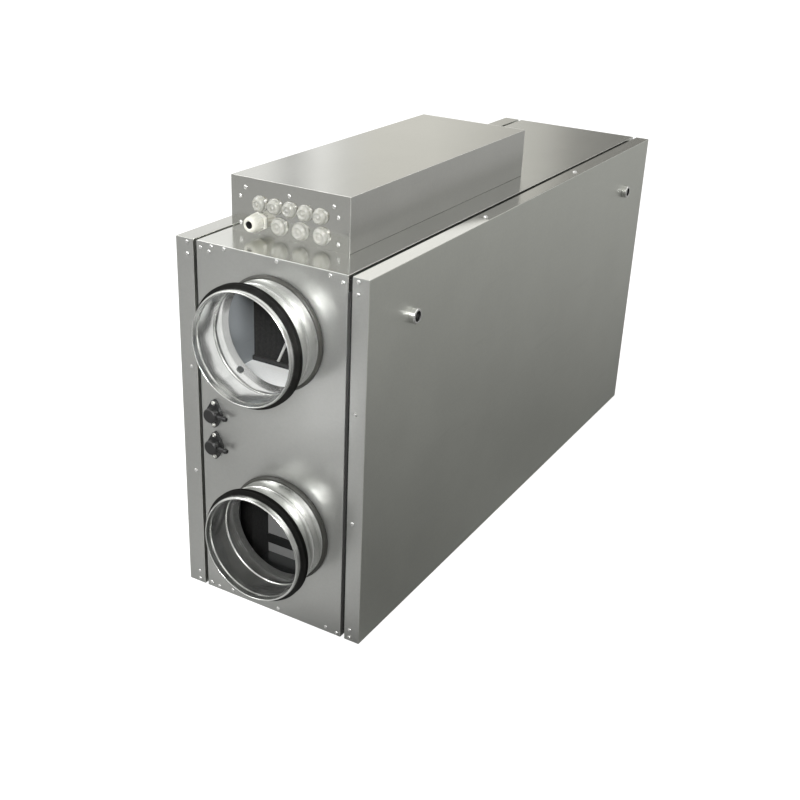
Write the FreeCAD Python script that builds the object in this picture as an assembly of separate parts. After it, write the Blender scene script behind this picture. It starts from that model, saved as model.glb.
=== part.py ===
import FreeCAD, Part
import math
import os

os.makedirs("parts", exist_ok=True)
Vec = FreeCAD.Vector

# Compact air handling unit for round ducts, standing on its base.
# Millimetres. X across the unit, the right-hand service panel on +X. Y along it, the end with
# the pressure taps on -Y. Z up. The origin is the middle of the underside.

# Casing
casing_width = 320.0
casing_height = 571.0
casing_length = 1074.0
sheet = 1.2
left_panel_thickness = 31.0
right_panel_thickness = 26.0
left_joint = 6.0
right_joint = 7.0
panel_edge_radius = 1.5
gasket_setback = 8.0
floor_thickness = 30.0
roof_thickness = 25.0
lining_thickness = 25.0

# Air chambers behind the duct collars
chamber_depth = 96.0
shelf_thickness = 25.0
shelf_drop = 206.0
sill_height = 14.0
sill_depth = 5.0
lower_sill_lift = 20.0
post_width = 23.0
post_depth = 42.0
filter_thickness = 20.0
edge_strip_width = 4.0
edge_strip_depth = 2.0
edge_strip_offset = 43.0
edge_strip_lean = 24.0

# Duct collars
collar_radius = 79.5
collar_wall = 1.0
collar_length = 75.4
collar_fit = 0.3
inner_flange_reach = 3.5
inner_flange_wall = 1.0
bead_place = 30.0
bead_height = 1.8
bead_half_width = 3.0
hem_length = 9.6
hem_reach = 3.7
hem_taper = 1.2
hem_edge = 1.0
flare_length = 10.8
flare_reach = 1.6
upper_collar_drop = 109.2
lower_collar_rise = 154.4
upper_collar_shift = 4.9
lower_collar_shift = 16.3

# Rubber on the collars: a ring against the panel and a double-lip seal behind the hem
base_ring_height = 4.8
base_ring_width = 7.5
seal_fit = 0.2
seal_band = 2.8
seal_width = 11.0
seal_lip_reach = 9.1
seal_lip_root = 3.8
seal_lip_lean = 3.0
rear_lip_lean = 1.4

# Dark plug in the wall of each upper collar
wall_plug_radius = 5.0
wall_plug_height = 1.6
wall_plug_edge = 0.6
wall_plug_place = 11.7
wall_plug_angle = 232.0
wall_plug_fit = 0.05

# Control box on the roof
box_width = 199.5
box_height = 79.5
box_length = 556.0
box_setback = 73.0
box_side_margin = 43.0
box_sheet = 1.2

# Membrane grommets in the control box
grommet_radius = 11.5
grommet_flange = 2.4
grommet_length = 9.4
grommet_shoulder = 10.3
grommet_shoulder_height = 6.4
grommet_tip_radius = 6.4
grommet_neck = 10.0
grommet_tail = 2.5
hole_fit = 0.2
upper_row_count = 5
upper_row_pitch = 25.4
upper_row_start = 50.5
upper_row_drop = 34.0
lower_row_count = 3
lower_row_pitch = 35.2
lower_row_start = 84.0
lower_row_drop = 60.0

# Cable gland in the control box
gland_place = 49.0
gland_drop = 59.6
gland_bore = 5.5
gland_thread = 9.8
gland_tail = 9.0
gland_hex = 26.0
gland_hex_thickness = 5.0
gland_nut_radius = 12.2
gland_nut_length = 12.0
gland_dome_radius = 11.0
gland_dome_height = 22.5
gland_mouth_radius = 8.4
gland_length = 26.0

# Pressure taps on the front panel
tap_side = 25.5
tap_upper_drop = 259.0
tap_pitch = 52.5
tap_flange_radius = 13.5
tap_ear_radius = 4.6
tap_ear_place = 17.6
tap_flange_thickness = 5.5
tap_cap_radius = 11.2
tap_cap_height = 16.5
tap_cap_edge = 1.4
tap_nozzle_radius = 3.2
tap_nozzle_bore = 1.5
tap_nozzle_reach = 27.5
tap_nozzle_height = 10.5
tap_barb_radius = 4.4
tap_barb_tip = 2.7
tap_barb_length = 4.0

# Key locks on the service panels
lock_radius = 11.5
lock_height = 9.5
lock_edge = 1.2
lock_socket_radius = 7.8
lock_socket_depth = 4.0
lock_key_radius = 3.6
lock_end_margin = 117.0
lock_drop = 83.0

# Places worked out from the sizes above
left_outer = -casing_width / 2
right_outer = casing_width / 2
body_left = left_outer + left_panel_thickness + left_joint
body_right = right_outer - right_panel_thickness - right_joint
body_middle = (body_left + body_right) / 2
end_face = casing_length / 2
end_inner = end_face - sheet
inner_left = body_left + lining_thickness
inner_right = body_right - lining_thickness
roof_underside = casing_height - roof_thickness
shelf_top = casing_height - shelf_drop
shelf_bottom = shelf_top - shelf_thickness
core_end = end_face - chamber_depth
box_left = left_outer + box_side_margin
box_right = box_left + box_width
box_front = -end_face + box_setback
box_back = box_front + box_length
box_top = casing_height + box_height
upper_axis = (body_middle + upper_collar_shift, casing_height - upper_collar_drop)
lower_axis = (body_middle + lower_collar_shift, lower_collar_rise)
duct_axes = {"upper": upper_axis, "lower": lower_axis}
ends = {"front": -1, "rear": 1}


def block(x0, x1, y0, y1, z0, z1):
    corner = Vec(min(x0, x1), min(y0, y1), min(z0, z1))
    return Part.makeBox(abs(x1 - x0), abs(y1 - y0), abs(z1 - z0), corner)


def end_block(side, x0, x1, depth0, depth1, z0, z1):
    # depth is measured inward from the end face of the casing
    return block(x0, x1, side * (end_face - depth0), side * (end_face - depth1), z0, z1)


def cylinder(centre, direction, radius, length):
    return Part.makeCylinder(radius, length, Vec(*centre), Vec(*direction))


def turned(outline):
    # a solid turned about its own Z axis from a closed outline of (radius, height) points
    points = [Vec(radius, 0, height) for radius, height in outline]
    section = Part.Face(Part.makePolygon(points + [points[0]]))
    return section.revolve(Vec(0, 0, 0), Vec(0, 0, 1), 360)


def placed(shape, base, direction):
    # the shape's own Z axis is turned to the given direction and its origin moved to base
    turn = FreeCAD.Rotation(Vec(0, 0, 1), Vec(*direction))
    moved = shape.copy()
    moved.Placement = FreeCAD.Placement(Vec(*base), turn)
    return moved


def save(name, *solids):
    shape = solids[0] if len(solids) == 1 else Part.makeCompound(list(solids))
    shape.exportStep("parts/" + name + ".step")


def collar_profile():
    # sheet pressed to shape: a flange behind the panel, a bead half way, and a flared mouth whose
    # edge is folded back outside as a hem
    outer = collar_radius
    inner = collar_radius - collar_wall
    bead_in = bead_place - bead_half_width
    bead_out = bead_place + bead_half_width
    hem_start = collar_length - hem_length
    hem_front = outer + hem_reach - hem_taper
    return [
        (inner, -sheet - inner_flange_wall),
        (outer + inner_flange_reach, -sheet - inner_flange_wall),
        (outer + inner_flange_reach, -sheet),
        (outer, -sheet),
        (outer, bead_in),
        (outer + bead_height, bead_place),
        (outer, bead_out),
        (outer, hem_start),
        (outer + hem_reach, hem_start),
        (hem_front, collar_length - hem_edge),
        (inner + flare_reach, collar_length),
        (inner, collar_length - flare_length),
        (inner, bead_out),
        (inner + bead_height, bead_place),
        (inner, bead_in),
    ]


def base_ring_profile():
    # a rubber ring that closes the joint between collar and panel
    inner = collar_radius + seal_fit
    outer = collar_radius + base_ring_height
    return [
        (inner, 0),
        (outer, 0),
        (outer, base_ring_width / 2),
        (inner, base_ring_width),
    ]


def seal_profile():
    # a rubber band against the hem with two lips that lean away from the mouth
    inner = collar_radius + seal_fit
    band = inner + seal_band
    tip = collar_radius + seal_lip_reach
    mouth = collar_length - hem_length - seal_fit
    root = mouth - seal_width
    return [
        (inner, root),
        (tip, root + rear_lip_lean),
        (band, root + seal_lip_root),
        (band, mouth - seal_lip_root),
        (tip, mouth - seal_lip_lean),
        (inner, mouth),
    ]


def make_ducts():
    collar = turned(collar_profile())
    seal = turned(seal_profile())
    base_ring = turned(base_ring_profile())
    for end, side in ends.items():
        base_rings = []
        for level, (x, z) in duct_axes.items():
            base = (x, side * end_face, z)
            save(level + "_" + end + "_collar", placed(collar, base, (0, side, 0)))
            save(level + "_" + end + "_seal", placed(seal, base, (0, side, 0)))
            base_rings.append(placed(base_ring, base, (0, side, 0)))
        save(end + "_base_rings", *base_rings)
        save(end + "_wall_plug", wall_plug(side))


def wall_plug(side):
    # a low plug on the inside of the upper collar, its flat foot across the curve of the wall
    plug = turned([
        (0, 0),
        (wall_plug_radius, 0),
        (wall_plug_radius, wall_plug_height - wall_plug_edge),
        (wall_plug_radius - wall_plug_edge, wall_plug_height),
        (0, wall_plug_height),
    ])
    inner = collar_radius - collar_wall
    reach = math.sqrt(inner ** 2 - wall_plug_radius ** 2) - wall_plug_fit
    angle = math.radians(wall_plug_angle)
    out = Vec(math.cos(angle), 0, math.sin(angle))
    x, z = upper_axis
    foot = Vec(x, side * (end_face + wall_plug_place), z) + out * reach
    return placed(plug, foot, out * -1)


def make_casing():
    save("floor", block(body_left, body_right, -end_inner, end_inner, 0, floor_thickness))
    save("roof", block(body_left, body_right, -end_inner, end_inner, roof_underside, casing_height))
    for end, side in ends.items():
        panel = end_block(side, body_left, body_right, 0, sheet, 0, casing_height)
        for x, z in duct_axes.values():
            hole = cylinder((x, -end_face - sheet, z), (0, 1, 0), collar_radius + collar_fit,
                            casing_length + 2 * sheet)
            panel = panel.cut(hole)
        save(end + "_panel", panel)
    save("left_lining", block(body_left, inner_left, -end_inner, end_inner,
                              floor_thickness, roof_underside))
    save("right_lining", block(inner_right, body_right, -end_inner, end_inner,
                               floor_thickness, roof_underside))
    save("left_service_panel", service_panel(left_outer, left_outer + left_panel_thickness))
    save("right_service_panel", service_panel(right_outer, right_outer - right_panel_thickness))
    save("left_gasket", gasket(left_outer + left_panel_thickness, body_left))
    save("right_gasket", gasket(body_right, right_outer - right_panel_thickness))


def service_panel(outside, inside):
    # a lift-off tray whose outer face turns over a folded edge all round
    panel = block(outside, inside, -end_face, end_face, 0, casing_height)
    folds = [edge for edge in panel.Edges
             if abs(edge.BoundBox.XMin - outside) + abs(edge.BoundBox.XMax - outside) < 0.01]
    return panel.makeFillet(panel_edge_radius, folds)


def gasket(x0, x1):
    return block(x0, x1, -end_face + gasket_setback, end_face - gasket_setback,
                 gasket_setback, casing_height - gasket_setback)


def make_inside():
    save("core", block(inner_left, inner_right, -core_end + filter_thickness,
                       core_end - filter_thickness, floor_thickness, roof_underside))
    for end, side in ends.items():
        save(end + "_shelf", end_block(side, inner_left, inner_right, sheet, chamber_depth,
                                       shelf_bottom, shelf_top))
        save("upper_" + end + "_filter", end_block(
            side, inner_left, inner_right, chamber_depth, chamber_depth + filter_thickness,
            shelf_bottom, roof_underside))
        save("lower_" + end + "_partition", end_block(
            side, inner_left, inner_right, chamber_depth, chamber_depth + filter_thickness,
            floor_thickness, shelf_bottom))
        save(end + "_post", end_block(side, inner_left, inner_left + post_width,
                                      chamber_depth - post_depth, chamber_depth,
                                      floor_thickness, shelf_bottom))
        upper_sill = end_block(side, inner_left, inner_right, chamber_depth - sill_depth,
                               chamber_depth, shelf_top, shelf_top + sill_height / 2)
        lower_sill = end_block(side, inner_left + post_width, inner_right, chamber_depth - sill_depth,
                               chamber_depth, floor_thickness + lower_sill_lift,
                               floor_thickness + lower_sill_lift + sill_height)
        save(end + "_sill_strips", upper_sill, lower_sill)
        save(end + "_edge_strip", edge_strip(side))


def edge_strip(side):
    # slanting bright edge on the filter face, from the sill up to the roof
    low = shelf_top + sill_height / 2
    rise = roof_underside - low
    foot = inner_left + edge_strip_offset
    lean = rise * math.tan(math.radians(edge_strip_lean))
    y = side * (end_face - chamber_depth + edge_strip_depth)
    corners = [
        Vec(foot, y, low),
        Vec(foot + edge_strip_width, y, low),
        Vec(foot + edge_strip_width + lean, y, roof_underside),
        Vec(foot + lean, y, roof_underside),
    ]
    face = Part.Face(Part.makePolygon(corners + [corners[0]]))
    return face.extrude(Vec(0, -side * edge_strip_depth, 0))


def make_control_box():
    front_inner = box_front + box_sheet
    back_inner = box_back - box_sheet
    base_top = casing_height + box_sheet
    save("control_box_base", block(box_left + box_sheet, box_right - box_sheet, front_inner,
                                   back_inner, casing_height, base_top))
    outer = block(box_left, box_right, front_inner, back_inner, casing_height, box_top)
    hollow = block(box_left + box_sheet, box_right - box_sheet, box_front, box_back,
                   casing_height - box_sheet, box_top - box_sheet)
    save("control_box_cover", outer.cut(hollow))
    front = block(box_left, box_right, box_front, front_inner, casing_height, box_top)
    for x, z in grommet_places():
        front = front.cut(cylinder((x, box_front - box_sheet, z), (0, 1, 0), grommet_neck + hole_fit,
                                   3 * box_sheet))
    front = front.cut(cylinder((gland_axis()[0], box_front - box_sheet, gland_axis()[1]), (0, 1, 0),
                               gland_thread + hole_fit, 3 * box_sheet))
    save("control_box_front_plate", front)
    save("control_box_rear_plate", block(box_left, box_right, back_inner, box_back,
                                         casing_height, box_top))


def grommet_places():
    upper = [(box_left + upper_row_start + n * upper_row_pitch, box_top - upper_row_drop)
             for n in range(upper_row_count)]
    lower = [(box_left + lower_row_start + n * lower_row_pitch, box_top - lower_row_drop)
             for n in range(lower_row_count)]
    return upper + lower


def gland_axis():
    return box_left + gland_place, box_top - gland_drop


def make_grommets():
    grommet = turned([
        (0, -box_sheet - grommet_tail),
        (grommet_neck, -box_sheet - grommet_tail),
        (grommet_neck, 0),
        (grommet_radius, 0),
        (grommet_radius, grommet_flange),
        (grommet_shoulder, grommet_shoulder_height),
        (grommet_tip_radius, grommet_length),
        (0, grommet_length),
    ])
    save("grommets", *[placed(grommet, (x, box_front, z), (0, -1, 0)) for x, z in grommet_places()])


def make_gland():
    body = turned([
        (gland_bore, -box_sheet - gland_tail),
        (gland_thread, -box_sheet - gland_tail),
        (gland_thread, gland_hex_thickness),
        (gland_nut_radius, gland_hex_thickness),
        (gland_nut_radius, gland_hex_thickness + gland_nut_length),
        (gland_dome_radius, gland_dome_height),
        (gland_mouth_radius, gland_length),
        (gland_bore, gland_length),
    ])
    corners = []
    for n in range(6):
        angle = math.radians(60 * n + 30)
        reach = gland_hex / 2 / math.cos(math.radians(30))
        corners.append(Vec(reach * math.cos(angle), reach * math.sin(angle), 0))
    hexagon = Part.Face(Part.makePolygon(corners + [corners[0]])).extrude(Vec(0, 0, gland_hex_thickness))
    hexagon = hexagon.cut(Part.makeCylinder(gland_bore, gland_hex_thickness))
    x, z = gland_axis()
    save("cable_gland", placed(body.fuse(hexagon).removeSplitter(), (x, box_front, z), (0, -1, 0)))


def make_taps():
    base_x = body_left + tap_side
    for n, name in enumerate(("upper", "lower")):
        z = casing_height - tap_upper_drop - n * tap_pitch
        save(name + "_pressure_tap", placed(pressure_tap(), (base_x, -end_face, z), (0, -1, 0)))


def pressure_tap():
    # own frame: Z out of the panel, Y up the panel, the nozzle towards +X once placed
    flange = Part.makeCylinder(tap_flange_radius, tap_flange_thickness)
    for sign in (-1, 1):
        ear = Part.makeCylinder(tap_ear_radius, tap_flange_thickness, Vec(0, sign * tap_ear_place, 0))
        flange = flange.fuse(ear).fuse(tangent_web(sign))
    cap = Part.makeCylinder(tap_cap_radius, tap_cap_height - tap_flange_thickness,
                            Vec(0, 0, tap_flange_thickness))
    cap = cap.makeChamfer(tap_cap_edge, [edge for edge in cap.Edges
                                         if edge.BoundBox.ZMin > tap_cap_height - 0.01])
    start = Vec(0, 0, tap_nozzle_height)
    nozzle = Part.makeCylinder(tap_nozzle_radius, tap_nozzle_reach, start, Vec(1, 0, 0))
    barb_start = Vec(tap_nozzle_reach - tap_barb_length, 0, tap_nozzle_height)
    barb = Part.makeCone(tap_barb_radius, tap_barb_tip, tap_barb_length, barb_start, Vec(1, 0, 0))
    bore = Part.makeCylinder(tap_nozzle_bore, tap_nozzle_reach, start, Vec(1, 0, 0))
    return flange.fuse(cap).fuse(nozzle).fuse(barb).cut(bore).removeSplitter()


def tangent_web(sign):
    # the four-sided plate between the tangent points of the round middle and one screw ear
    tilt = math.asin((tap_flange_radius - tap_ear_radius) / tap_ear_place)
    across, along = math.cos(tilt), math.sin(tilt)
    corners = [
        Vec(-tap_flange_radius * across, sign * tap_flange_radius * along, 0),
        Vec(tap_flange_radius * across, sign * tap_flange_radius * along, 0),
        Vec(tap_ear_radius * across, sign * (tap_ear_place + tap_ear_radius * along), 0),
        Vec(-tap_ear_radius * across, sign * (tap_ear_place + tap_ear_radius * along), 0),
    ]
    return Part.Face(Part.makePolygon(corners + [corners[0]])).extrude(Vec(0, 0, tap_flange_thickness))


def make_locks():
    lock = turned([
        (0, 0),
        (lock_radius, 0),
        (lock_radius, lock_height - lock_edge),
        (lock_radius - lock_edge, lock_height),
        (lock_socket_radius, lock_height),
        (lock_socket_radius, lock_height - lock_socket_depth),
        (lock_key_radius, lock_height - lock_socket_depth),
        (lock_key_radius, lock_height - lock_edge),
        (0, lock_height - lock_edge),
    ])
    z = casing_height - lock_drop
    for name, side in (("left", -1), ("right", 1)):
        pair = [placed(lock, (side * casing_width / 2, y, z), (side, 0, 0))
                for y in (-end_face + lock_end_margin, end_face - lock_end_margin)]
        save(name + "_panel_locks", *pair)


make_casing()
make_inside()
make_ducts()
make_control_box()
make_grommets()
make_gland()
make_taps()
make_locks()
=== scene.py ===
import math

import bmesh
import bpy
from mathutils import Matrix, Vector


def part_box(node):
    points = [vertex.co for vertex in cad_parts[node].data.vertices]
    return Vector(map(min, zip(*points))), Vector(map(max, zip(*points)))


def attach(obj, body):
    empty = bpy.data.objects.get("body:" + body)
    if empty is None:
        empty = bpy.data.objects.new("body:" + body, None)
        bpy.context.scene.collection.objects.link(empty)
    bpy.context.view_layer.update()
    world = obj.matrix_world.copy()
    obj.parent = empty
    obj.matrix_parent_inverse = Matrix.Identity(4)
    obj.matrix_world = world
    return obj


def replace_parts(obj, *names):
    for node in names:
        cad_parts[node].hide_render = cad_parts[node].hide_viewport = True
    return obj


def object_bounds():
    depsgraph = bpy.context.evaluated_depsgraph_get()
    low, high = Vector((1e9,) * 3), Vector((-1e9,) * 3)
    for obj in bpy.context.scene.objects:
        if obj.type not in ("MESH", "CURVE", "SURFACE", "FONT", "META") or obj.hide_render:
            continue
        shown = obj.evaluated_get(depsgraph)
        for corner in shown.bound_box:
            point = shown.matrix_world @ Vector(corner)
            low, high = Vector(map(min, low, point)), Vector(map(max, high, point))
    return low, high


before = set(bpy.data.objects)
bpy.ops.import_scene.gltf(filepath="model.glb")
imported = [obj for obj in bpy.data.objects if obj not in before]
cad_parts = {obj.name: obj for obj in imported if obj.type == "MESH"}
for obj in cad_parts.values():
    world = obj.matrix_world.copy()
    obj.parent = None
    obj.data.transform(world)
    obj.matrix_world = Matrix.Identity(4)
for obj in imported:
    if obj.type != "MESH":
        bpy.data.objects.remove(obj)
cad_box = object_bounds()

# Compact air handling unit in galvanised sheet. Metres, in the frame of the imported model:
# X across, Y along, Z up, the end with the pressure taps on -Y.

# Viewpoint, in metres, degrees and millimetres of lens and sensor
EYE = (0.87569, -1.72693, 1.05579)
EYE_AZIMUTH = 29.16
EYE_ELEVATION = -25.13
EYE_ROLL = 2.58
LENS = 51.51
SENSOR_WIDTH = 36.0
NEAR_CLIP = 0.01

# Rounding of folds and cut edges
FOLD_RADIUS = 0.0011
PLATE_EDGE = 0.0005
PART_EDGE = 0.0004
ROUND_SEGMENTS = 3
SAME_POINT = 1e-6
FLAT_ANGLE = math.radians(0.5)
EDGE_ANGLE = math.radians(40)

# Rivets and screws
RIVET_RADIUS = 0.0031
RIVET_HEIGHT = 0.0016
RIVET_STEPS = 20
SCREW_RADIUS = 0.0036
SCREW_HEIGHT = 0.0021
SCREW_STEPS = 24

# Rivets in the ends of the service panels: two columns, by their shift from the middle of the
# left and of the right panel, with their drops from the top and their rises from the foot
LEFT_COLUMN_SHIFT = 0.0047
RIGHT_COLUMN_SHIFT = -0.004
COLUMN_DROPS = (0.0057, 0.023, 0.1957, 0.3686)
COLUMN_RISES = (0.0195, 0.0060)

# Rivets in the ends of the body, across from its middle, with their drop or their rise
BODY_TOP_RIVETS = ((-0.118, 0.0095), (-0.0993, 0.0046), (-0.103, 0.0128), (-0.077, 0.0042),
                   (0.0113, 0.0040), (0.0977, 0.0057), (0.1175, 0.0113))
BODY_FOOT_RIVETS = ((-0.1175, 0.0074), (-0.1025, 0.0055), (-0.076, 0.0079), (0.0113, 0.0070),
                    (0.099, 0.0080), (0.1183, 0.0048))

# Rivets in the ends of the control box, across from its middle, with their drop from its top
BOX_RIVETS = ((-0.0748, 0.0147), (0.0, 0.0152), (0.0738, 0.0170), (-0.0835, 0.0284),
              (0.0815, 0.0309), (-0.0835, 0.0668), (0.0815, 0.0686))

# Duct collars with their base rings and seals
COLLAR_RADIUS = 0.0795
COLLAR_WALL = 0.001
COLLAR_LENGTH = 0.0754
INNER_FLANGE_REACH = 0.0034
INNER_FLANGE_WALL = 0.001
BEAD_PLACE = 0.030
BEAD_HEIGHT = 0.0016
BEAD_HALF_WIDTH = 0.0028
BEAD_STEPS = 10
HEM_LENGTH = 0.0096
HEM_REACH = 0.0037
FLARE_LENGTH = 0.0108
FLARE_REACH = 0.0016
BASE_RING_HEIGHT = 0.0047
BASE_RING_WIDTH = 0.0073
SEAL_BAND = 0.0028
SEAL_WIDTH = 0.011
SEAL_REACH = 0.0090
SEAL_ROOT = 0.0038
SEAL_LEAN = 0.0030
SEAL_REAR_LEAN = 0.0014
RUBBER_FIT = 0.0002
EDGE_ROUND = 0.0006
LIP_ROUND = 0.0007
DUCT_STEPS = 160

# Grommets in the end of the control box: a row is its distance from the left edge, its pitch,
# its drop from the top, its count and the radius of its grommets
GROMMET_ROWS = ((0.0505, 0.0254, 0.0343, 5, 0.0119), (0.084, 0.0352, 0.0613, 3, 0.0133))
GROMMET_LENGTH = 0.0094
GROMMET_EDGE = 0.0009
MOULDING_STEPS = 48

# Cable gland, by its distance from the left edge of the box end and its drop from the top
GLAND_SIDE = 0.049
GLAND_DROP = 0.0596
GLAND_BORE = 0.0055
GLAND_LENGTH = 0.026
GLAND_HEX = 0.026
GLAND_HEX_THICKNESS = 0.005
GLAND_RIBS = 16
GLAND_RIB_DEPTH = 0.0008
GLAND_RIB_STEPS = 10

# Pressure taps
TAP_FLANGE_RADIUS = 0.0135
TAP_FLANGE_THICKNESS = 0.0055
TAP_EAR_PLACE = 0.0176
TAP_SCREW_RADIUS = 0.0029

# Key locks
LOCK_END_MARGIN = 0.117
LOCK_DROP = 0.083
LOCK_SOCKET_RADIUS = 0.0079

# How straight a face has to look along an axis to count as facing it, or as flat
FACING = 0.9
FLAT = 0.99

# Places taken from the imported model
front_low, front_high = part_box("front_panel")
rear_low, rear_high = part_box("rear_panel")
left_low, left_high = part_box("left_service_panel")
right_low, right_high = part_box("right_service_panel")
plate_low, plate_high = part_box("control_box_front_plate")
BOX_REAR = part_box("control_box_rear_plate")[1].y
END_FACE = rear_high.y
SHEET = rear_high.y - rear_low.y
CASING_TOP = front_high.z
BODY_MIDDLE = (front_low.x + front_high.x) / 2
FLANGE_SCREW_PLACE = END_FACE / 3

# Marks in the galvanised sheet: cells of zinc spangle, drawn streaks and scuffs, by their
# repeats a metre, with their depths
SPANGLE_SCALE = 420.0
SPANGLE_DEPTH = 0.000006
STREAK_SCALE = (420.0, 3.0, 420.0)
STREAK_DEPTH = 0.00001
SCUFF_SCALE = (30.0, 6.0, 90.0)
COAT_ROUGHNESS = 0.09

# Turning marks and zinc of the collars, and the colours of dust on plastic and on rubber
TURNING_SCALE = (2.0, 520.0, 2.0)
SMEAR_SCALE = (60.0, 6.0, 60.0)
COLLAR_DARK = (0.58, 0.59, 0.57)
COLLAR_LIGHT = (0.70, 0.705, 0.69)
COLLAR_SMEAR = (0.40, 0.41, 0.40)
DUST = (0.3, 0.29, 0.26)
RUBBER_DUST = (0.13, 0.13, 0.12)


class Graph:
    """A Principled material and short calls for the nodes that feed it."""

    def __init__(self, name):
        self.material = bpy.data.materials.new(name)
        self.material.use_nodes = True
        self.tree = self.material.node_tree
        self.shader = self.tree.nodes["Principled BSDF"]
        self.place = self.add("ShaderNodeTexCoord").outputs["Object"]

    def add(self, kind, inputs=None, **settings):
        node = self.tree.nodes.new(kind)
        for key, value in settings.items():
            setattr(node, key, value)
        for key, value in (inputs or {}).items():
            self.feed(node, key, value)
        return node

    def feed(self, node, key, value):
        if isinstance(value, bpy.types.NodeSocket):
            self.tree.links.new(value, node.inputs[key])
        else:
            node.inputs[key].default_value = value

    def set(self, **inputs):
        for key, value in inputs.items():
            self.feed(self.shader, key.replace("_", " "), value)

    def stretched(self, scale):
        return self.add("ShaderNodeMapping", {"Vector": self.place, "Scale": scale}).outputs[0]

    def noise(self, scale, detail=3.0, roughness=0.55, vector=None):
        return self.add("ShaderNodeTexNoise", {
            "Vector": vector or self.place, "Scale": scale, "Detail": detail, "Roughness": roughness,
        }).outputs["Fac"]

    def cells(self, scale):
        cells = self.add("ShaderNodeTexVoronoi", {"Vector": self.place, "Scale": scale})
        return self.add("ShaderNodeSeparateColor", {"Color": cells.outputs["Color"]}).outputs[0]

    def spread(self, value, low, high, to_low=0.0, to_high=1.0):
        return self.add("ShaderNodeMapRange", {
            "Value": value, "From Min": low, "From Max": high, "To Min": to_low, "To Max": to_high,
        }).outputs[0]

    def math(self, operation, first, second):
        return self.add("ShaderNodeMath", {0: first, 1: second}, operation=operation).outputs[0]

    def blend(self, factor, first, second):
        node = self.add("ShaderNodeMix", data_type="RGBA")
        for index, value in ((0, factor), (6, first), (7, second)):
            if isinstance(value, bpy.types.NodeSocket):
                self.tree.links.new(value, node.inputs[index])
            elif index:
                node.inputs[index].default_value = (*value, 1.0)
            else:
                node.inputs[index].default_value = value
        return node.outputs[2]

    def bump(self, height, distance, strength=1.0, under=None):
        inputs = {"Height": height, "Distance": distance, "Strength": strength}
        if under:
            inputs["Normal"] = under
        return self.add("ShaderNodeBump", inputs).outputs[0]


def shade(colour, factor):
    return tuple(min(1.0, channel * factor) for channel in colour)


def sheet_metal(name, colour, roughness, metallic=1.0, coat=0.3, wave=0.0012, marks=0.1, lean=None):
    """Galvanised sheet: faint grain, drawn streaks, soft clouds of gloss and slight waves.

    A lean is the middle across, the places along Y where the sheet starts to lean and leans
    fully, and its slopes across and along.
    """
    g = Graph(name)
    grains = g.cells(SPANGLE_SCALE)
    clouds = g.noise(9.0, 5.0)
    patches = g.spread(g.noise(3.2, 3.0), 0.52, 0.72)
    brushed = g.noise(1.0, 2.0, 0.6, g.stretched(STREAK_SCALE))
    scuffs = g.spread(g.noise(1.0, 3.0, 0.5, g.stretched(SCUFF_SCALE)), 0.64, 0.74)
    tone = g.math("ADD", g.math("MULTIPLY", grains, 0.3), g.math("MULTIPLY", clouds, 0.7))
    base = g.blend(g.spread(tone, 0.3, 0.7), shade(colour, 0.97), shade(colour, 1.03))
    base = g.blend(g.math("MULTIPLY", scuffs, marks), base, shade(colour, 0.72))
    gloss = g.math("ADD", g.spread(grains, 0.0, 1.0, roughness - 0.015, roughness + 0.015),
                   g.spread(brushed, 0.3, 0.7, -0.01, 0.02))
    gloss = g.math("ADD", gloss, g.math("MULTIPLY", patches, 0.04))
    surface = g.bump(g.noise(3.6, 1.0), wave)
    if lean:
        middle, start, full, across, along = lean
        place = g.add("ShaderNodeSeparateXYZ", {"Vector": g.place}).outputs
        fall = g.math("MULTIPLY", g.math("SUBTRACT", middle, place["X"]), across)
        fall = g.math("MULTIPLY", fall, g.spread(place["Y"], start, full))
        nose = g.math("MULTIPLY", g.math("MINIMUM", g.math("SUBTRACT", place["Y"], start), 0.0), along)
        surface = g.bump(g.math("ADD", fall, nose), 1.0, 1.0, surface)
    surface = g.bump(grains, SPANGLE_DEPTH, 0.5, surface)
    surface = g.bump(brushed, STREAK_DEPTH, 0.5, surface)
    g.set(Base_Color=base, Roughness=gloss, Metallic=metallic, Normal=surface,
          Coat_Weight=coat, Coat_Roughness=COAT_ROUGHNESS, Coat_IOR=1.45)
    return g.material


def collar_metal(name, metallic, lift=0.0):
    """Bright pressed sheet with fine turning rings and cloudy zinc."""
    g = Graph(name)
    rings = g.noise(1.0, 4.0, 0.65, g.stretched(TURNING_SCALE))
    streaks = g.noise(1.0, 3.0, 0.6, g.stretched(SMEAR_SCALE))
    clouds = g.noise(26.0, 4.0)
    # The lift makes the tones paler; the large lift of the copy for the bore is painted light
    base = g.blend(g.spread(clouds, 0.35, 0.68), shade(COLLAR_DARK, 1 + lift),
                   shade(COLLAR_LIGHT, 1 + lift))
    base = g.blend(g.math("MULTIPLY", g.spread(streaks, 0.55, 0.7), 0.14), base, COLLAR_SMEAR)
    gloss = g.math("ADD", g.spread(rings, 0.3, 0.7, 0.15, 0.24), g.spread(clouds, 0.3, 0.7, -0.03, 0.06))
    surface = g.bump(g.noise(16.0, 2.0), 0.0007)
    surface = g.bump(rings, 0.00002, 0.6, surface)
    g.set(Base_Color=base, Roughness=gloss, Metallic=metallic, Normal=surface)
    return g.material


def rubber(name, colour, roughness, dust=0.05, pores=900.0, gloss=0.35):
    """Black rubber or foam with fine pores and a film of dust in places."""
    g = Graph(name)
    fine = g.noise(pores, 2.0)
    film = g.spread(g.noise(38.0, 4.0), 0.5, 0.75)
    base = g.blend(g.math("MULTIPLY", film, dust), colour, RUBBER_DUST)
    surface = g.bump(fine, 0.0001, 0.6)
    g.set(Base_Color=base, Roughness=g.spread(film, 0.0, 1.0, roughness, roughness + 0.15),
          Specular_IOR_Level=gloss, Normal=surface)
    return g.material


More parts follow.
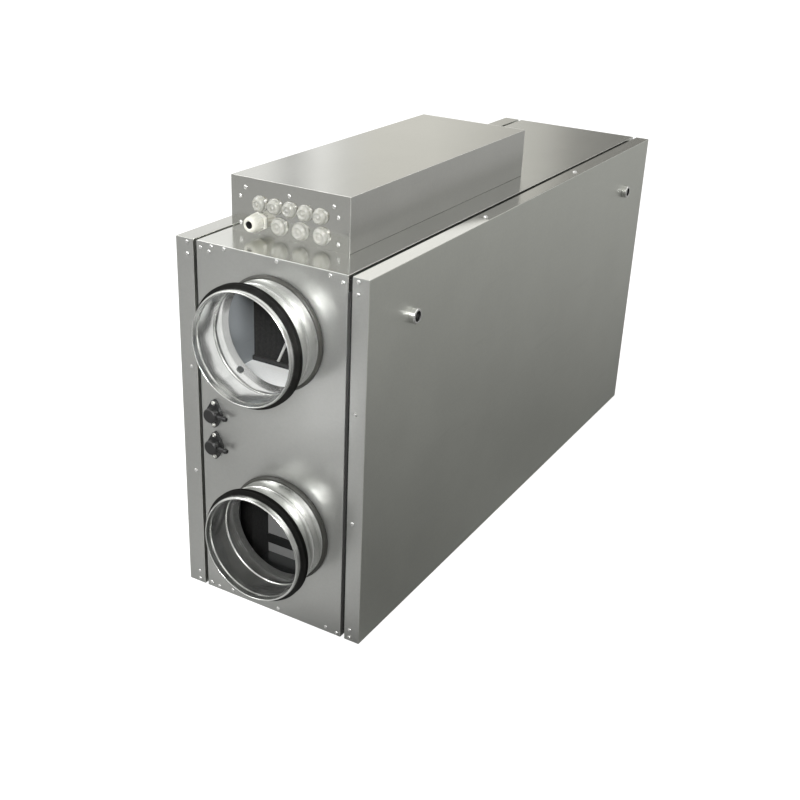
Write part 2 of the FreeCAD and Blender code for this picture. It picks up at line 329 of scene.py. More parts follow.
def moulded(name, colour, roughness, subsurface=0.0, coat=0.0, grain=0.00004, dust=0.1):
    """Moulded plastic, slightly mottled and grained, with dust in places."""
    g = Graph(name)
    mottle = g.noise(60.0, 4.0)
    fine = g.noise(1400.0, 2.0)
    base = g.blend(g.spread(mottle, 0.35, 0.7), shade(colour, 0.9), shade(colour, 1.08))
    film = g.spread(g.noise(21.0, 3.0), 0.55, 0.7)
    base = g.blend(g.math("MULTIPLY", film, dust), base, DUST)
    g.set(Base_Color=base, Roughness=g.spread(mottle, 0.3, 0.7, roughness, roughness + 0.1),
          Normal=g.bump(fine, grain, 0.5), Subsurface_Weight=subsurface, Subsurface_Scale=0.004,
          Subsurface_Radius=(1.0, 0.95, 0.8), Coat_Weight=coat, Coat_Roughness=0.08)
    return g.material


def filter_cloth(name):
    """Black woven filter face with lint."""
    g = Graph(name)
    weave = g.add("ShaderNodeTexWave", {"Vector": g.place, "Scale": 140.0, "Distortion": 1.5},
                  bands_direction="X").outputs["Fac"]
    lint = g.noise(240.0, 5.0)
    base = g.blend(g.spread(lint, 0.4, 0.7), (0.004, 0.004, 0.004), (0.010, 0.010, 0.009))
    g.set(Base_Color=base, Roughness=0.85, Specular_IOR_Level=0.1,
          Normal=g.bump(lint, 0.0004, 0.7, g.bump(weave, 0.0006, 0.6)), Sheen_Weight=0.1)
    return g.material


def bright_metal(name, colour, roughness):
    """Plated metal with faint clouds."""
    g = Graph(name)
    clouds = g.noise(150.0, 3.0)
    fine = g.noise(2600.0, 2.0)
    base = g.blend(g.spread(clouds, 0.35, 0.7), shade(colour, 0.92), colour)
    g.set(Base_Color=base, Roughness=g.spread(clouds, 0.3, 0.7, roughness, roughness + 0.05),
          Metallic=1.0, Normal=g.bump(fine, 0.00001, 0.4))
    return g.material


galvanised = sheet_metal("galvanised_sheet", (0.45, 0.454, 0.44), 0.36, metallic=0.86)
galvanised_door = sheet_metal("galvanised_door_sheet", (0.60, 0.61, 0.57), 0.40, coat=0.03, wave=0.002)
galvanised_flange = sheet_metal("galvanised_flange_sheet", (0.66, 0.66, 0.63), 0.20,
                                lean=(0.147, -0.19, -0.30, 0.35, 0.08))
galvanised_box_side = sheet_metal("galvanised_box_side_sheet", (0.56, 0.56, 0.54), 0.32, coat=0.02)
# Thin dark band on the rounded foot of the control box cover: painted shadow where the cover meets the
# roof
painted_foot_shadow_band = rubber("painted_foot_shadow", (0.035, 0.035, 0.032), 0.7, dust=0.1)
galvanised_box = sheet_metal("galvanised_box_sheet", (0.54, 0.54, 0.515), 0.10, coat=0.45)
# Paler, rougher sheet for the rounded folds and edges: painted highlight along them
painted_edge_highlight = sheet_metal("painted_edge_highlight_sheet", (0.74, 0.74, 0.71), 0.40, metallic=0.5, coat=0.0)
galvanised_roof = sheet_metal("galvanised_roof_sheet", (0.66, 0.665, 0.64), 0.20, coat=0.5)
inner_lining = sheet_metal("inner_lining_sheet", (0.28, 0.30, 0.312), 0.46, metallic=0.6, coat=0.0,
                           marks=0.3)
inner_shelf = sheet_metal("inner_shelf_sheet", (0.90, 0.91, 0.90), 0.42, metallic=0.3, coat=0.0,
                          wave=0.008, marks=0.5)
# A dark copy of the sheet for the upward faces of the floor: painted shade inside the chambers
painted_shade_floor = sheet_metal("painted_shade_floor_sheet", (0.12, 0.125, 0.125), 0.22, metallic=0.7, marks=0.3)
bright_strip = sheet_metal("edge_strip_sheet", (0.28, 0.28, 0.27), 0.45, metallic=0.1, coat=0.0)
partition_sheet = sheet_metal("partition_sheet", (0.34, 0.34, 0.335), 0.42, metallic=0.2, coat=0.0)
collar_steel = collar_metal("collar_sheet", 0.97, 0.06)
# A paler copy of the collar sheet for the faces inside the bore: painted light, as if light fell into the
# duct
collar_bore_painted_light = collar_metal("collar_bore_painted_light_sheet", 0.93, 0.2)
seal_rubber = rubber("seal_rubber", (0.004, 0.004, 0.0035), 0.48, gloss=0.12)
base_rubber = rubber("base_rubber", (0.032, 0.032, 0.028), 0.38, dust=0.15)
gasket_foam = rubber("gasket_foam", (0.012, 0.012, 0.012), 0.9, pores=420.0)
filter_black = filter_cloth("filter_cloth")
gland_plastic = moulded("gland_plastic", (0.62, 0.615, 0.56), 0.38, subsurface=0.15, grain=0.00006)
grommet_plastic = moulded("grommet_plastic", (0.36, 0.36, 0.33), 0.20, subsurface=0.3, coat=0.5)
tap_plastic = moulded("tap_plastic", (0.010, 0.010, 0.010), 0.44, grain=0.00006, dust=0.06)
plug_plastic = moulded("plug_plastic", (0.03, 0.033, 0.033), 0.45)
lock_chrome = bright_metal("lock_chrome", (0.80, 0.80, 0.79), 0.12)
rivet_metal = bright_metal("rivet_metal", (0.74, 0.74, 0.73), 0.26)
screw_zinc = bright_metal("screw_zinc", (0.60, 0.60, 0.57), 0.48)

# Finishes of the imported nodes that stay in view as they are
CAD_FINISH = {
    "floor": galvanised, "core": inner_lining, "control_box_base": galvanised,
    "left_lining": inner_lining, "right_lining": inner_lining,
    "left_gasket": gasket_foam, "right_gasket": gasket_foam,
}
for end in ("front", "rear"):
    CAD_FINISH[end + "_shelf"] = inner_shelf
    CAD_FINISH["upper_" + end + "_filter"] = filter_black
    CAD_FINISH["lower_" + end + "_partition"] = partition_sheet
    CAD_FINISH[end + "_post"] = filter_black
    CAD_FINISH[end + "_sill_strips"] = gasket_foam
    CAD_FINISH[end + "_edge_strip"] = bright_strip
    CAD_FINISH[end + "_wall_plug"] = plug_plastic

for node, material in CAD_FINISH.items():
    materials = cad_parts[node].data.materials
    materials.clear()
    materials.append(material)


def finish_facing(piece, material, axis, sign):
    """Gives a further material to the faces that look along one axis."""
    piece.data.materials.append(material)
    for polygon in piece.data.polygons:
        if polygon.normal[axis] * sign > FACING:
            polygon.material_index = len(piece.data.materials) - 1


# The upward faces of the floor take the dark copy: painted shade
finish_facing(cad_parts["floor"], painted_shade_floor, 2, 1)
finish_facing(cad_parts["left_lining"], galvanised, 0, -1)
finish_facing(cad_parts["right_lining"], galvanised, 0, 1)


def make_piece(name, bm, material, smooth=True):
    """A piece of the look that rides on the one body, with its material."""
    mesh = bpy.data.meshes.new(name)
    bm.to_mesh(mesh)
    bm.free()
    mesh.materials.append(material)
    for polygon in mesh.polygons:
        polygon.use_smooth = smooth
    piece = bpy.data.objects.new(name, mesh)
    bpy.context.scene.collection.objects.link(piece)
    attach(piece, "root")
    return piece


def weigh_normals(piece):
    modifier = piece.modifiers.new("weighted_normal", "WEIGHTED_NORMAL")
    modifier.keep_sharp = True
    modifier.weight = 100


def finish_edges(piece, width, edge_highlight_finish, foot_shadow_finish):
    """Gives the rounded edges a paler finish as painted highlight, and those at the foot a dark finish as
    painted shadow, if any.
    """
    foot = min(vertex.co.z for vertex in piece.data.vertices) + 2 * width
    piece.data.materials.append(edge_highlight_finish)
    if foot_shadow_finish:
        piece.data.materials.append(foot_shadow_finish)
    for polygon in piece.data.polygons:
        if max(abs(part) for part in polygon.normal) < FLAT:
            if polygon.center.z > foot:
                polygon.material_index = 1
            elif foot_shadow_finish:
                polygon.material_index = 2


def softened(node, width, material, edge_highlight_finish=None, foot_shadow_finish=None):
    """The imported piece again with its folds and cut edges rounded, in its place."""
    bm = bmesh.new()
    bm.from_mesh(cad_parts[node].data)
    bmesh.ops.remove_doubles(bm, verts=bm.verts, dist=SAME_POINT)
    bmesh.ops.dissolve_limit(bm, angle_limit=FLAT_ANGLE, verts=bm.verts, edges=bm.edges)
    corners = [edge for edge in bm.edges
               if len(edge.link_faces) == 2 and edge.calc_face_angle() > EDGE_ANGLE]
    bmesh.ops.bevel(bm, geom=corners, offset=width, segments=ROUND_SEGMENTS, profile=0.5,
                    affect="EDGES", clamp_overlap=True)
    piece = make_piece(node + "_sheet", bm, material)
    if edge_highlight_finish:
        finish_edges(piece, width, edge_highlight_finish, foot_shadow_finish)
    weigh_normals(piece)
    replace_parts(piece, node)
    return piece


for node in ("front_panel", "rear_panel"):
    softened(node, PLATE_EDGE, galvanised)
for node, flange in (("left_service_panel", galvanised_box), ("right_service_panel", galvanised_flange)):
    panel = softened(node, PLATE_EDGE, galvanised_door)
    finish_facing(panel, flange, 2, 1)
    for sign in (-1, 1):
        finish_facing(panel, galvanised, 1, sign)
# Rounded edges of the roof and of the control box take the painted highlight; the foot of the cover takes
# the painted shadow
softened("roof", PLATE_EDGE, galvanised_roof, painted_edge_highlight)
for node in ("control_box_front_plate", "control_box_rear_plate"):
    softened(node, FOLD_RADIUS, galvanised_box, painted_edge_highlight)
cover = softened("control_box_cover", FOLD_RADIUS, galvanised_box, painted_edge_highlight, painted_foot_shadow_band)
for sign in (1, -1):
    finish_facing(cover, galvanised_box_side, 0, sign)
for node in ("upper_pressure_tap", "lower_pressure_tap"):
    softened(node, PART_EDGE, tap_plastic)


def paint_socket_shade(locks):
    """Painted shade: black inside the key sockets of both locks of a panel."""
    locks.data.materials.append(tap_plastic)
    for polygon in locks.data.polygons:
        corners = [locks.data.vertices[n].co for n in polygon.vertices]
        reach = max(math.hypot(abs(c.y) - END_FACE + LOCK_END_MARGIN, c.z - CASING_TOP + LOCK_DROP)
                    for c in corners)
        if reach < LOCK_SOCKET_RADIUS:
            polygon.material_index = 1


for node in ("left_panel_locks", "right_panel_locks"):
    paint_socket_shade(softened(node, PART_EDGE, lock_chrome))


def frame_on(place, normal):
    """The matrix that puts the Z axis of an outline on a place, along a normal."""
    turn = Vector((0, 0, 1)).rotation_difference(Vector(normal)).to_matrix().to_4x4()
    return Matrix.Translation(Vector(place)) @ turn


def add_turned(bm, outline, matrix, steps, closed=False, ribs=0, rib_depth=0.0):
    """Turns an outline of (radius, height) points about the Z axis of the matrix.

    Points given as (radius, height, share) are drawn in between the ribs by that share.
    """
    rings = []
    for radius, height, *share in outline:
        if radius == 0:
            rings.append([bm.verts.new(matrix @ Vector((0, 0, height)))])
            continue
        ring = []
        for n in range(steps):
            angle = 2 * math.pi * n / steps
            groove = (share[0] if share else 0.0) * rib_depth * (0.5 - 0.5 * math.cos(ribs * angle))
            reach = radius - groove
            point = Vector((reach * math.cos(angle), reach * math.sin(angle), height))
            ring.append(bm.verts.new(matrix @ point))
        rings.append(ring)
    pairs = list(zip(rings, rings[1:]))
    if closed:
        pairs.append((rings[-1], rings[0]))
    for low, high in pairs:
        for n in range(steps):
            m = (n + 1) % steps
            corners = [low[n % len(low)], low[m % len(low)], high[m % len(high)], high[n % len(high)]]
            bm.faces.new(list(dict.fromkeys(corners)))


def bend(centre, radius_across, radius_along, start, stop, steps):
    """Points of an arc, with angles in degrees from the outward direction."""
    points = []
    for n in range(steps + 1):
        angle = math.radians(start + (stop - start) * n / steps)
        points.append((centre[0] + radius_across * math.cos(angle),
                       centre[1] + radius_along * math.sin(angle)))
    return points


def bead(radius):
    """The rounded bead of the collar, standing out from a wall of this radius."""
    points = []
    for n in range(BEAD_STEPS + 1):
        t = -1 + 2 * n / BEAD_STEPS
        points.append((radius + BEAD_HEIGHT * (0.5 + 0.5 * math.cos(math.pi * t)),
                       BEAD_PLACE + BEAD_HALF_WIDTH * t))
    return points


def collar_outline():
    """Inner flange, tube with its bead, folded hem outside and flare inside the mouth."""
    outer = COLLAR_RADIUS
    inner = COLLAR_RADIUS - COLLAR_WALL
    hem_back = COLLAR_LENGTH - HEM_LENGTH
    hem_top = outer + HEM_REACH
    flange = outer + INNER_FLANGE_REACH
    flange_back = -SHEET - INNER_FLANGE_WALL
    rim = inner + FLARE_REACH
    flare = COLLAR_LENGTH - FLARE_LENGTH
    outline = [(inner, flange_back), (flange, flange_back), (flange, -SHEET), (outer, -SHEET)]
    outline += bead(outer)
    outline += [(outer, hem_back), (hem_top - EDGE_ROUND, hem_back)]
    outline += bend((hem_top - EDGE_ROUND, hem_back + 0.0007), EDGE_ROUND, 0.0007, -60, 0, 3)
    outline += bend((rim + 0.0002, COLLAR_LENGTH - 0.0052), hem_top - rim - 0.0005, 0.0052, 20, 90, 9)
    outline += [(rim - 0.0002, COLLAR_LENGTH - 0.0004), (rim - 0.0004, COLLAR_LENGTH - 0.0012),
                (rim - 0.0004, flare + 0.0034), (rim - 0.0006, flare + 0.0026),
                (inner + 0.0006, flare + 0.0012), (inner + 0.0001, flare + 0.0005), (inner, flare)]
    return outline + bead(inner)[::-1]


def base_ring_outline():
    """A rubber ring at the foot of the collar, rounded down to the panel."""
    inner = COLLAR_RADIUS + RUBBER_FIT
    outline = [(inner, 0.0001), (COLLAR_RADIUS + BASE_RING_HEIGHT - 0.0004, 0.0001)]
    outline += bend((inner + 0.0006, 0.0022), BASE_RING_HEIGHT - 0.0008, BASE_RING_WIDTH - 0.0023,
                    0, 85, 9)
    return outline + [(inner, BASE_RING_WIDTH)]


def seal_outline():
    """A band with two lips that lean away from the mouth, both with rounded tips."""
    inner = COLLAR_RADIUS + RUBBER_FIT
    band = inner + SEAL_BAND
    tip = COLLAR_RADIUS + SEAL_REACH - LIP_ROUND
    mouth = COLLAR_LENGTH - HEM_LENGTH - RUBBER_FIT
    root = mouth - SEAL_WIDTH
    outline = [(inner, root), (band - EDGE_ROUND, root + 0.0004)]
    outline += bend((tip, root + SEAL_REAR_LEAN + 0.0002), LIP_ROUND, LIP_ROUND, -100, 80, 6)
    outline += [(band + 0.0010, root + SEAL_ROOT - 0.0010), (band, root + SEAL_ROOT),
                (band, mouth - SEAL_ROOT)]
    outline += bend((tip, mouth - SEAL_LEAN), LIP_ROUND, LIP_ROUND, -100, 80, 6)
    return outline + [(band + 0.0004, mouth - 0.0008), (inner, mouth)]


def make_duct_piece(name, outline, place, material):
    bm = bmesh.new()
    add_turned(bm, outline, place, DUCT_STEPS, closed=True)
    return make_piece(name, bm, material)


def paint_bore_light(piece, centre):
    """Painted light: a paler copy of the collar sheet on the faces that look towards the axis of the
    duct.
    """
    piece.data.materials.append(collar_bore_painted_light)
    for polygon in piece.data.polygons:
        outward = polygon.center - centre
        if polygon.normal.x * outward.x + polygon.normal.z * outward.z < 0:
            polygon.material_index = 1


def make_duct(level, name, side):
    """A collar with its seal and base ring; the upper ring stands for the node of both."""
    collar = level + "_" + name + "_collar"
    seal = level + "_" + name + "_seal"
    low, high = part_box(collar)
    place = frame_on(((low.x + high.x) / 2, side * END_FACE, (low.z + high.z) / 2), (0, side, 0))
    pressed = make_duct_piece(collar + "_pressed", collar_outline(), place, collar_steel)
    paint_bore_light(pressed, place.translation)
    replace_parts(pressed, collar)
    lips = make_duct_piece(seal + "_lips", seal_outline(), place, seal_rubber)
    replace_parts(lips, seal)
    ring = make_duct_piece(level + "_" + name + "_base_ring", base_ring_outline(), place, base_rubber)
    if level == "upper":
        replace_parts(ring, name + "_base_rings")


def grommet_outline(r):
    """Flange, stepped dome, raised rim and the thin centre that is cut for the cable."""
    h = GROMMET_LENGTH
    outline = [(r, 0)] + bend((r - GROMMET_EDGE, 0.0015), GROMMET_EDGE, GROMMET_EDGE, 0, 80, 4)
    outline += [(r * 0.90, h * 0.29)]
    outline += bend((r * 0.50, h * 0.42), r * 0.40, h * 0.50, 5, 72, 9)
    outline += [(r * 0.60, h * 0.985), (r * 0.55, h), (r * 0.49, h * 0.985), (r * 0.45, h * 0.90),
                (r * 0.30, h * 0.88), (r * 0.16, h * 0.90), (r * 0.12, h * 0.97), (r * 0.06, h), (0, h)]
    return outline


def make_grommets():
    bm = bmesh.new()
    for start, pitch, drop, count, radius in GROMMET_ROWS:
        for n in range(count):
            place = (plate_low.x + start + n * pitch, plate_low.y, plate_high.z - drop)
            add_turned(bm, grommet_outline(radius), frame_on(place, (0, -1, 0)), MOULDING_STEPS)
    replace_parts(make_piece("grommet_domes", bm, grommet_plastic), "grommets")


def gland_outline():
    """Ribbed nut that rounds off into the mouth, with the share of the ribs at each point."""
    nut = GLAND_HEX / 2 - 0.0008
    start = GLAND_HEX_THICKNESS
    top = GLAND_LENGTH
    mouth = GLAND_BORE + 0.0026
    outline = [(GLAND_BORE, start - 0.001), (nut - 0.001, start + 0.0001, 0), (nut, start + 0.0008, 0.6)]
    outline += [(nut, start + 0.003, 1), (nut - 0.0002, start + 0.0115, 1),
                (nut - 0.0006, start + 0.013, 0.6)]
    outline += [(r, h, 0) for r, h in bend((mouth, start + 0.0132), nut - 0.0008 - mouth,
                                           top - start - 0.0136, 8, 88, 10)]
    outline += [(mouth - 0.0006, top, 0), (GLAND_BORE + 0.0004, top - 0.0003, 0),
                (GLAND_BORE, top - 0.001, 0)]
    return outline


def make_gland():
    """Hexagon against the plate, ribbed dome nut and the black rubber sleeve in its mouth."""
    centre = (plate_low.x + GLAND_SIDE, plate_low.y, plate_high.z - GLAND_DROP)
    place = frame_on(centre, (0, -1, 0))
    bm = bmesh.new()
    flat_to_corner = GLAND_HEX / 2 / math.cos(math.radians(30))
    hexagon = [(GLAND_BORE, 0), (flat_to_corner - 0.0004, 0), (flat_to_corner, 0.0004),
               (flat_to_corner, GLAND_HEX_THICKNESS - 0.0008),
               (flat_to_corner - 0.0012, GLAND_HEX_THICKNESS), (GLAND_BORE, GLAND_HEX_THICKNESS)]
    add_turned(bm, hexagon, place @ Matrix.Rotation(math.radians(30), 4, "Z"), 6, closed=True)
    nut = make_piece("cable_gland_hexagon", bm, gland_plastic, smooth=False)
    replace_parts(nut, "cable_gland")
    bm = bmesh.new()
    add_turned(bm, gland_outline(), place, GLAND_RIBS * GLAND_RIB_STEPS, closed=True, ribs=GLAND_RIBS,
               rib_depth=GLAND_RIB_DEPTH)
    make_piece("cable_gland_dome", bm, gland_plastic)
    bm = bmesh.new()
    sleeve = [(GLAND_BORE, 0.001), (GLAND_BORE, GLAND_LENGTH - 0.0012),
              (GLAND_BORE - 0.0005, GLAND_LENGTH - 0.0016), (GLAND_BORE - 0.0006, 0.001)]
    add_turned(bm, sleeve, place, MOULDING_STEPS, closed=True)
    make_piece("cable_gland_sleeve", bm, gasket_foam)


for name, side in (("front", -1), ("rear", 1)):
    for level in ("upper", "lower"):
        make_duct(level, name, side)
make_grommets()
make_gland()


def add_rivet(bm, place, normal):
    """A blind rivet: a low dome with the broken stem set in its middle."""
    r, h = RIVET_RADIUS, RIVET_HEIGHT
    outline = [(r, 0)] + bend((0, 0), r, h, 15, 60, 3)
    outline += [(r * 0.42, h * 0.93), (r * 0.36, h * 0.62), (r * 0.2, h * 0.72), (0, h * 0.7)]
    add_turned(bm, outline, frame_on(place, normal), RIVET_STEPS)


def add_screw(bm, place, normal, radius=SCREW_RADIUS):
    """A pan head screw with a washer collar and a round drive."""
    r, h = radius, SCREW_HEIGHT
    outline = [(r * 1.25, 0), (r * 1.25, h * 0.2), (r, h * 0.28)]
    outline += bend((r * 0.55, h * 0.4), r * 0.43, h * 0.6, 0, 85, 5)
    outline += [(r * 0.38, h * 0.98), (r * 0.30, h * 0.5), (0, h * 0.5)]
    add_turned(bm, outline, frame_on(place, normal), SCREW_STEPS)


def end_places():
    """Places (x, z) of the rivets in an end face of the casing."""
    left_column = (left_low.x + left_high.x) / 2 + LEFT_COLUMN_SHIFT
    right_column = (right_low.x + right_high.x) / 2 + RIGHT_COLUMN_SHIFT
    heights = [CASING_TOP - drop for drop in COLUMN_DROPS] + list(COLUMN_RISES)
    places = [(x, z) for x in (left_column, right_column) for z in heights]
    places += [(BODY_MIDDLE + x, CASING_TOP - drop) for x, drop in BODY_TOP_RIVETS]
    return places + [(BODY_MIDDLE + x, rise) for x, rise in BODY_FOOT_RIVETS]


def box_places():
    """Places (x, z) of the rivets in an end plate of the control box."""
    middle = (plate_low.x + plate_high.x) / 2
    return [(middle + x, plate_high.z - drop) for x, drop in BOX_RIVETS]


def make_rivets(name, places, y, out):
    bm = bmesh.new()
    for x, z in places:
        add_rivet(bm, (x, y, z), (0, out, 0))
    make_piece(name, bm, rivet_metal)


make_rivets("front_rivets", end_places(), -END_FACE, -1)
make_rivets("rear_rivets", end_places(), END_FACE, 1)
make_rivets("control_box_front_rivets", box_places(), plate_low.y, -1)
make_rivets("control_box_rear_rivets", box_places(), BOX_REAR, 1)


def make_flange_screws():
    """Two screws in the top edge of each service panel."""
    bm = bmesh.new()
    for low, high in ((left_low, left_high), (right_low, right_high)):
        for y in (-FLANGE_SCREW_PLACE, FLANGE_SCREW_PLACE):
            add_screw(bm, ((low.x + high.x) / 2, y, CASING_TOP), (0, 0, 1))
    make_piece("service_panel_screws", bm, rivet_metal)


def make_tap_screws():
    """Two screws in the ears of each pressure tap."""
    bm = bmesh.new()
    for node in ("upper_pressure_tap", "lower_pressure_tap"):
        low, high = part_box(node)
        middle = (low.z + high.z) / 2
        for sign in (-1, 1):
            place = (low.x + TAP_FLANGE_RADIUS, -END_FACE - TAP_FLANGE_THICKNESS,
                     middle + sign * TAP_EAR_PLACE)
            add_screw(bm, place, (0, -1, 0), TAP_SCREW_RADIUS)
    make_piece("pressure_tap_screws", bm, screw_zinc)


make_flange_screws()
make_tap_screws()


def make_camera():
    data = bpy.data.cameras.new("camera")
    data.lens = LENS
    data.sensor_width = SENSOR_WIDTH
    data.clip_start = NEAR_CLIP
    camera = bpy.data.objects.new("camera", data)
    turn = (Matrix.Rotation(math.radians(EYE_AZIMUTH), 4, "Z")
            @ Matrix.Rotation(math.radians(90 + EYE_ELEVATION), 4, "X")
            @ Matrix.Rotation(math.radians(EYE_ROLL), 4, "Z"))
    camera.matrix_world = Matrix.Translation(EYE) @ turn
    bpy.context.scene.collection.objects.link(camera)
    bpy.context.scene.camera = camera


def add_ramp(nodes, links, value, stops):
    """A colour ramp with (position, colour) stops, fed by a socket."""
    node = nodes.new("ShaderNodeValToRGB")
    elements = node.color_ramp.elements
    elements.remove(elements[1])
    for index, (position, colour) in enumerate(stops):
        element = elements.new(position) if index else elements[0]
        element.position = position
        element.color = (*colour, 1)
    links.new(value, node.inputs[0])
    return node.outputs[0]


# Tone of the floor in reflections, the product of a share across and a share along: painted shadow darker
# near the unit and to its right, and a painted pool of light in front of it
FLOOR_ACROSS = ((-3.0, 0.40), (-0.9, 0.375), (-0.72, 0.355), (-0.58, 0.32), (-0.3, 0.30),
                (-0.2, 0.33), (-0.1, 0.44), (0.0, 0.46), (0.11, 0.36), (0.17, 0.25),
                (0.235, 0.225), (0.44, 0.246), (0.8, 0.283), (1.6, 0.33), (4.0, 0.36))
FLOOR_ALONG = ((-4.0, 1.5), (-1.75, 1.28), (-1.58, 1.25), (-1.4, 1.0), (-1.1, 0.90), (-0.9, 1.12),
               (-0.75, 1.42), (-0.62, 1.42), (-0.5, 0.80), (-0.4, 0.70), (-0.3, 0.75), (0.0, 1.0),
               (0.6, 1.22), (1.24, 1.38), (2.3, 1.7), (4.0, 1.8))
FLOOR_GLOW = 0.8
FLOOR_PALE = (0.4, 0.4, 0.4, 1)
FLOOR_REACH = 40.0
FLOOR_GAP = 0.0002


def floor_painted_shade_and_light(nodes, links):
    """Painted shadow and light on the floor: the product of the shares across and along, by the place on
    the floor.
    """
    place = nodes.new("ShaderNodeSeparateXYZ")
    links.new(nodes.new("ShaderNodeTexCoord").outputs["Object"], place.inputs[0])
    tone = nodes.new("ShaderNodeVectorMath")
    tone.operation = "MULTIPLY"
    for index, (axis, levels) in enumerate((("X", FLOOR_ACROSS), ("Y", FLOOR_ALONG))):
        first, last = levels[0][0], levels[-1][0]
        span = nodes.new("ShaderNodeMapRange")
        span.inputs["From Min"].default_value = first
        span.inputs["From Max"].default_value = last
        links.new(place.outputs[axis], span.inputs["Value"])
        stops = [((spot - first) / (last - first), (level,) * 3) for spot, level in levels]
        links.new(add_ramp(nodes, links, span.outputs[0], stops), tone.inputs[index])
    return tone.outputs[0]


def floor_material():
    """White to the camera, a grey studio floor with painted shadow and light to every reflection."""
    material = bpy.data.materials.new("pale_floor")
    material.use_nodes = True
    nodes, links = material.node_tree.nodes, material.node_tree.links
    nodes.clear()
    seen = nodes.new("ShaderNodeAddShader")
    glow = nodes.new("ShaderNodeEmission")
    glow.inputs["Strength"].default_value = FLOOR_GLOW
    pale = nodes.new("ShaderNodeBsdfDiffuse")
    pale.inputs["Color"].default_value = FLOOR_PALE
    links.new(glow.outputs[0], seen.inputs[0])
    links.new(pale.outputs[0], seen.inputs[1])
    grey = nodes.new("ShaderNodeBsdfDiffuse")
    links.new(floor_painted_shade_and_light(nodes, links), grey.inputs["Color"])
    choice = nodes.new("ShaderNodeMixShader")
    links.new(nodes.new("ShaderNodeLightPath").outputs["Is Camera Ray"], choice.inputs[0])
    links.new(grey.outputs[0], choice.inputs[1])
    links.new(seen.outputs[0], choice.inputs[2])
    links.new(choice.outputs[0], nodes.new("ShaderNodeOutputMaterial").inputs["Surface"])
    return material


def make_floor():
    level = cad_box[0].z - FLOOR_GAP
    corners = [(x * FLOOR_REACH, y * FLOOR_REACH, level) for x, y in ((-1, -1), (1, -1), (1, 1), (-1, 1))]
    mesh = bpy.data.meshes.new("studio_floor")
    mesh.from_pydata(corners, [], [(0, 1, 2, 3)])
    mesh.materials.append(floor_material())
    floor = bpy.data.objects.new("studio_floor", mesh)
    bpy.context.scene.collection.objects.link(floor)


# Brightness of the studio wall by direction, in degrees to the left of +Y
WALL_BANDS = ((-180, 0.60), (-120, 0.50), (-75, 0.42), (-40, 0.46), (-10, 0.44), (5, 0.32), (16, 0.25),
              (19, 0.235), (21, 0.27), (22.5, 0.54), (25, 0.66), (28, 0.80), (31.5, 0.80), (32.9, 0.82),
              (33.3, 1.05), (34.1, 1.05), (34.4, 0.62), (35.5, 0.62), (35.9, 1.02), (39, 1.02),
              (60, 1.00), (100, 0.9), (180, 0.60))
CEILING = 1.25
WALL_TOP = math.sin(math.radians(25))
CEILING_START = math.sin(math.radians(33))
ZENITH = 0.62
ZENITH_START = math.sin(math.radians(50))
ZENITH_FULL = math.sin(math.radians(70))
WARMTH = (1.0, 1.0, 0.975)

# The wall is warmer between these two directions
CORNER = (10, 32)
CORNER_WARMTH = (1.0, 0.985, 0.91)


def wall_stops():
    """The stops of the wall, from -Y by way of +X, +Y and -X back to -Y."""
    stops = []
    for angle, level in WALL_BANDS:
        warmth = CORNER_WARMTH if CORNER[0] < angle < CORNER[1] else WARMTH
        stops.append(((angle + 180) / 360, shade(warmth, level / CEILING)))
    return stops


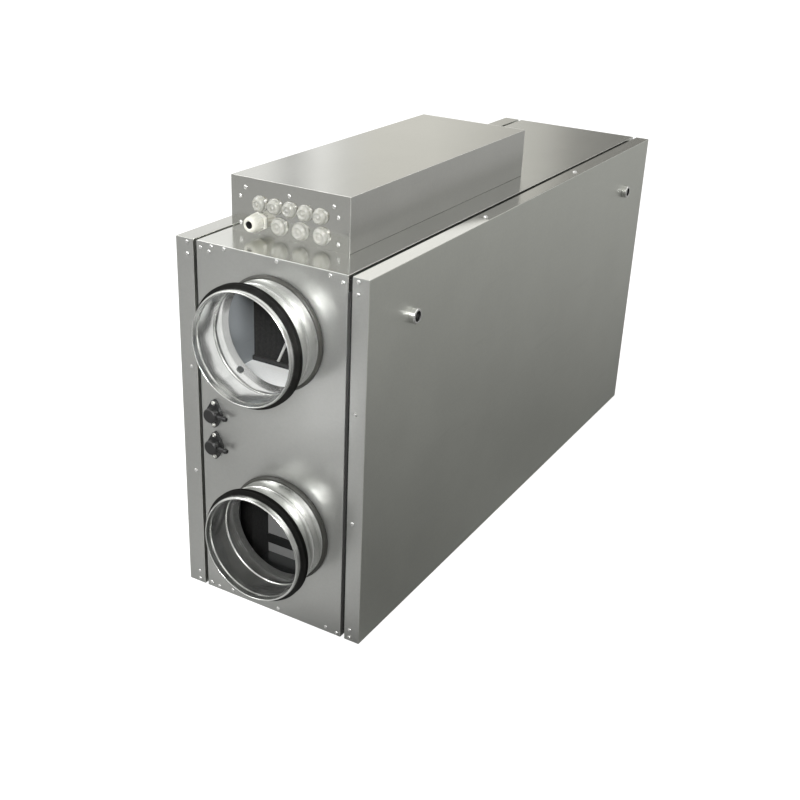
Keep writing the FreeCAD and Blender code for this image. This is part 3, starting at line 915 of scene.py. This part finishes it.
def make_world():
    """White to the camera; wall bands and a bright ceiling to every reflection."""
    world = bpy.data.worlds.new("studio")
    bpy.context.scene.world = world
    world.use_nodes = True
    nodes, links = world.node_tree.nodes, world.node_tree.links
    nodes.clear()

    def calculated(operation, *inputs):
        node = nodes.new("ShaderNodeMath")
        node.operation = operation
        for index, value in enumerate(inputs):
            if isinstance(value, bpy.types.NodeSocket):
                links.new(value, node.inputs[index])
            else:
                node.inputs[index].default_value = value
        return node.outputs[0]

    axes = nodes.new("ShaderNodeSeparateXYZ")
    links.new(nodes.new("ShaderNodeTexCoord").outputs["Generated"], axes.inputs[0])
    turn = calculated("ARCTAN2", calculated("MULTIPLY", axes.outputs["X"], -1.0), axes.outputs["Y"])
    share = calculated("MULTIPLY_ADD", turn, 1 / (2 * math.pi), 0.5)
    wall = add_ramp(nodes, links, share, wall_stops())

    def by_height(start, stop, first, last):
        node = nodes.new("ShaderNodeMapRange")
        node.interpolation_type = "SMOOTHSTEP"
        for key, value in (("From Min", start), ("From Max", stop), ("To Min", first), ("To Max", last)):
            node.inputs[key].default_value = value
        links.new(axes.outputs["Z"], node.inputs["Value"])
        return node.outputs[0]

    rise = by_height(WALL_TOP, CEILING_START, 0.0, 1.0)
    around = nodes.new("ShaderNodeBackground")
    around.inputs["Strength"].default_value = CEILING
    links.new(wall, around.inputs["Color"])
    above = nodes.new("ShaderNodeBackground")
    above.inputs["Color"].default_value = (*WARMTH, 1)
    links.new(by_height(ZENITH_START, ZENITH_FULL, CEILING, ZENITH), above.inputs["Strength"])
    room = nodes.new("ShaderNodeMixShader")
    links.new(rise, room.inputs[0])
    links.new(around.outputs[0], room.inputs[1])
    links.new(above.outputs[0], room.inputs[2])
    shown = nodes.new("ShaderNodeBackground")
    shown.inputs["Color"].default_value = (1, 1, 1, 1)
    choice = nodes.new("ShaderNodeMixShader")
    links.new(nodes.new("ShaderNodeLightPath").outputs["Is Camera Ray"], choice.inputs[0])
    links.new(room.outputs[0], choice.inputs[1])
    links.new(shown.outputs[0], choice.inputs[2])
    links.new(choice.outputs[0], nodes.new("ShaderNodeOutputWorld").inputs["Surface"])


# Lights: name, place, aim, size, watts and spread in degrees. The cards stand for light that
# the room throws into the upper chamber and up at the front panel.
SOFTBOXES = (
    ("key_softbox", (-2.2, -1.6, 2.6), (-0.3, -0.6, 0.1), (2.0, 1.6), 12.0, 100.0),
    ("front_softbox", (1.08, -2.65, 1.75), (0.02, -0.6, 0.47), (0.6, 0.5), 1.6, 24.0),
    ("chamber_card", (-0.014, -0.454, 0.462), (-0.014, -1.0, 0.462), (0.125, 0.12), 0.045, 180.0),
    ("low_card", (-0.272, -1.12, 0.05), (0.105, -0.537, 0.382), (0.10, 0.14), 0.058, 120.0),
    ("mouth_softbox", (1.0, -1.95, 1.2), (0.005, -0.56, 0.45), (0.12, 0.12), 0.14, 10.0),
)


def add_softbox(name, place, aim, size, power, spread):
    data = bpy.data.lights.new(name, "AREA")
    data.shape = "RECTANGLE"
    data.size, data.size_y = size
    data.energy = power
    data.spread = math.radians(spread)
    light = bpy.data.objects.new(name, data)
    light.location = place
    light.rotation_mode = "QUATERNION"
    light.rotation_quaternion = (Vector(aim) - Vector(place)).to_track_quat("-Z", "Y")
    light.visible_camera = False
    bpy.context.scene.collection.objects.link(light)


make_camera()
make_floor()
make_world()
for softbox in SOFTBOXES:
    add_softbox(*softbox)
bpy.context.scene.view_settings.view_transform = "Standard"
